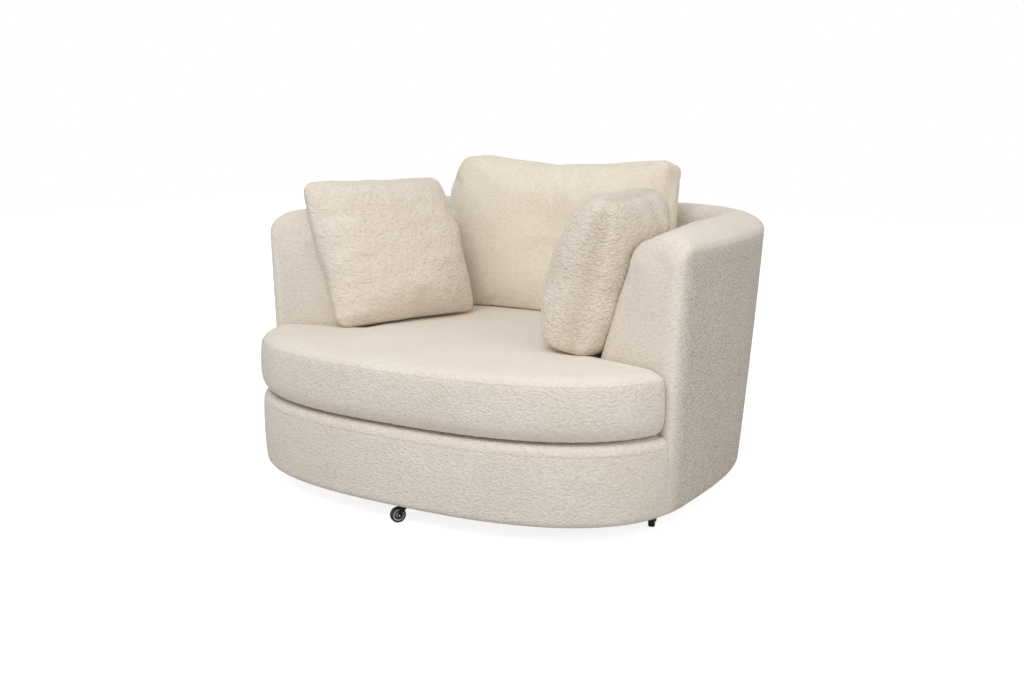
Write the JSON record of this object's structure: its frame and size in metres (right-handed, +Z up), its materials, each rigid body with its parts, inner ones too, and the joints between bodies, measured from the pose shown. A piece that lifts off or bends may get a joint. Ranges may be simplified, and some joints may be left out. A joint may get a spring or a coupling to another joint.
{
  "type": "cuddle chair",
  "caption": "Round upholstered armchair for two with a wide seat cushion, loose back and scatter cushions, and swivel casters under the base.",
  "frame": {"origin": "on the floor, under the middle of the overall box", "axes": "+Z up, -Y towards the front of the seat, +X towards the right-hand arm as seen from the front"},
  "size_m": [1.2528, 1.184, 0.8353],
  "materials": {
    "boucle": "cream boucle, nubbly",
    "foam": "open-cell padding",
    "plywood": "bare plywood",
    "felt": "grey felt",
    "dust_cloth": "black non-woven cloth",
    "spring_steel": "dark spring wire",
    "zinc_steel": "zinc plated",
    "black_steel": "black, satin",
    "tread_rubber": "black rubber",
    "wheel_plastic": "grey plastic",
    "zip_tape": "cream zip tape"
  },
  "bodies": {
    "chair": {"base_ring": "plywood", "deck_ring": "plywood", "rim_rail": "plywood", "arm_rib_right": "plywood", "arm_rib_left": "plywood", "side_rib_right": "plywood", "side_rib_left": "plywood", "back_rib_right": "plywood", "back_rib_left": "plywood", "front_post_right": "plywood", "front_post_left": "plywood", "seat_spring_1": "spring_steel", "seat_spring_2": "spring_steel", "seat_spring_3": "spring_steel", "seat_spring_4": "spring_steel", "seat_spring_5": "spring_steel", "deck_pad": "felt", "dust_cover": "dust_cloth", "inside_foam": "foam", "rim_foam": "foam", "outside_panel": "boucle", "inside_panel": "boucle", "front_panel": "boucle", "caster_1_plate": "zinc_steel", "caster_2_plate": "zinc_steel", "caster_3_plate": "zinc_steel", "caster_4_plate": "zinc_steel", "caster_5_plate": "zinc_steel"},
    "caster_1_swivel": {"caster_1_fork": "black_steel", "caster_1_axle": "zinc_steel"},
    "caster_1_roller": {"caster_1_wheel": "wheel_plastic", "caster_1_tread": "tread_rubber"},
    "caster_2_swivel": {"caster_2_fork": "black_steel", "caster_2_axle": "zinc_steel"},
    "caster_2_roller": {"caster_2_wheel": "wheel_plastic", "caster_2_tread": "tread_rubber"},
    "caster_3_swivel": {"caster_3_fork": "black_steel", "caster_3_axle": "zinc_steel"},
    "caster_3_roller": {"caster_3_wheel": "wheel_plastic", "caster_3_tread": "tread_rubber"},
    "caster_4_swivel": {"caster_4_fork": "black_steel", "caster_4_axle": "zinc_steel"},
    "caster_4_roller": {"caster_4_wheel": "wheel_plastic", "caster_4_tread": "tread_rubber"},
    "caster_5_swivel": {"caster_5_fork": "black_steel", "caster_5_axle": "zinc_steel"},
    "caster_5_roller": {"caster_5_wheel": "wheel_plastic", "caster_5_tread": "tread_rubber"},
    "seat_cushion": {"seat_cushion_cover": "boucle", "seat_cushion_core": "foam", "seat_cushion_zip": "zip_tape"},
    "back_cushion": {"back_cushion_cover": "boucle", "back_cushion_core": "foam", "back_cushion_zip": "zip_tape"},
    "left_cushion": {"left_cushion_cover": "boucle", "left_cushion_insert": "foam", "left_cushion_zip": "zip_tape"},
    "right_cushion": {"right_cushion_cover": "boucle", "right_cushion_insert": "foam", "right_cushion_zip": "zip_tape"}
  },
  "joints": [
    {"name": "caster_1_swivel", "type": "hinge", "parent": "chair", "child": "caster_1_swivel", "pos_m": [0.012, -0.53301, 0.05], "axis": [0, 0, 1], "continuous": true},
    {"name": "caster_1_roll", "type": "hinge", "parent": "caster_1_swivel", "child": "caster_1_roller", "pos_m": [0.00087, -0.55082, 0.019], "axis": [0.848, -0.5299, 0], "continuous": true},
    {"name": "caster_2_swivel", "type": "hinge", "parent": "chair", "child": "caster_2_swivel", "pos_m": [0.527, -0.23401, 0.05], "axis": [0, 0, 1], "continuous": true},
    {"name": "caster_2_roll", "type": "hinge", "parent": "caster_2_swivel", "child": "caster_2_roller", "pos_m": [0.53418, -0.25374, 0.019], "axis": [0.9397, 0.342, 0], "continuous": true},
    {"name": "caster_3_swivel", "type": "hinge", "parent": "chair", "child": "caster_3_swivel", "pos_m": [0.325, 0.38518, 0.05], "axis": [0, 0, 1], "continuous": true},
    {"name": "caster_3_roll", "type": "hinge", "parent": "caster_3_swivel", "child": "caster_3_roller", "pos_m": [0.3422, 0.39723, 0.019], "axis": [-0.5736, 0.8192, 0], "continuous": true},
    {"name": "caster_4_swivel", "type": "hinge", "parent": "chair", "child": "caster_4_swivel", "pos_m": [-0.325, 0.38518, 0.05], "axis": [0, 0, 1], "continuous": true},
    {"name": "caster_4_roll", "type": "hinge", "parent": "caster_4_swivel", "child": "caster_4_roller", "pos_m": [-0.3355, 0.40337, 0.019], "axis": [-0.866, -0.5, 0], "continuous": true},
    {"name": "caster_5_swivel", "type": "hinge", "parent": "chair", "child": "caster_5_swivel", "pos_m": [-0.527, -0.23401, 0.05], "axis": [0, 0, 1], "continuous": true},
    {"name": "caster_5_roll", "type": "hinge", "parent": "caster_5_swivel", "child": "caster_5_roller", "pos_m": [-0.54673, -0.24119, 0.019], "axis": [0.342, -0.9397, 0], "continuous": true},
    {"name": "seat_cushion_lift", "type": "slide", "parent": "chair", "child": "seat_cushion", "axis": [0, 0, 1], "range_m": [0, 0.3]},
    {"name": "back_cushion_lift", "type": "slide", "parent": "seat_cushion", "child": "back_cushion", "axis": [0, 0, 1], "range_m": [0, 0.3]},
    {"name": "left_cushion_lift", "type": "slide", "parent": "seat_cushion", "child": "left_cushion", "axis": [0, 0, 1], "range_m": [0, 0.3]},
    {"name": "right_cushion_lift", "type": "slide", "parent": "seat_cushion", "child": "right_cushion", "axis": [0, 0, 1], "range_m": [0, 0.3]}
  ]
}
